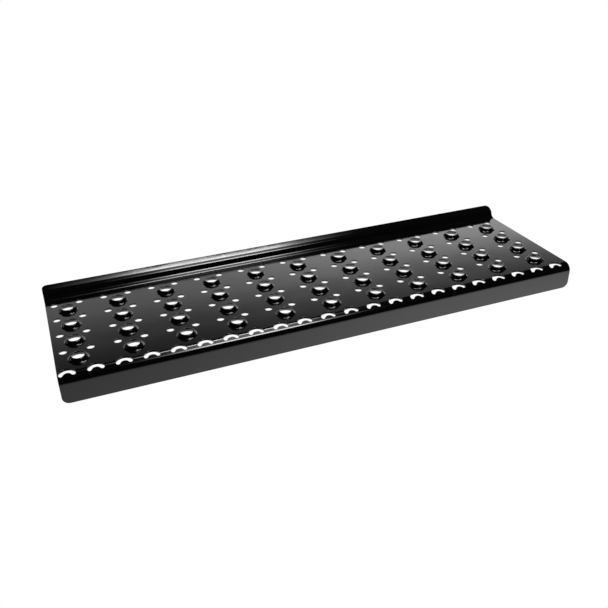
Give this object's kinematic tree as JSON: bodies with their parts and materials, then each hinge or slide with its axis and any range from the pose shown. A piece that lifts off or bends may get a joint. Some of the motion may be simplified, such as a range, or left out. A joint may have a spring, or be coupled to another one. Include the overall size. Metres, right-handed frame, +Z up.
{
  "type": "running board",
  "caption": "Pressed steel running board with raised open grip buttons, drain holes, tongued nose openings, a front skirt and a rolled rear flange, on weld studs.",
  "frame": {"origin": "middle of the bounding box, at the level of the skirt's lower edge", "axes": "+X along the board, to the right for someone facing the skirt; +Y from the front skirt to the rear flange; +Z up"},
  "size_m": [0.5588, 0.1656, 0.041],
  "materials": {
    "black_paint": "gloss black paint over pressed sheet steel, with a slight orange peel",
    "zinc_plate": "bright zinc plate on steel fasteners"
  },
  "bodies": {
    "root": {"tread_panel": "black_paint", "front_stud_1": "zinc_plate", "front_stud_2": "zinc_plate", "front_stud_3": "zinc_plate", "front_stud_4": "zinc_plate", "front_washer_1": "zinc_plate", "front_washer_2": "zinc_plate", "front_washer_3": "zinc_plate", "front_washer_4": "zinc_plate", "front_nut_1": "zinc_plate", "front_nut_2": "zinc_plate", "front_nut_3": "zinc_plate", "front_nut_4": "zinc_plate", "rear_stud_1": "zinc_plate", "rear_stud_2": "zinc_plate", "rear_stud_3": "zinc_plate", "rear_stud_4": "zinc_plate", "rear_washer_1": "zinc_plate", "rear_washer_2": "zinc_plate", "rear_washer_3": "zinc_plate", "rear_washer_4": "zinc_plate", "rear_nut_1": "zinc_plate", "rear_nut_2": "zinc_plate", "rear_nut_3": "zinc_plate", "rear_nut_4": "zinc_plate"}
  },
  "joints": []
}
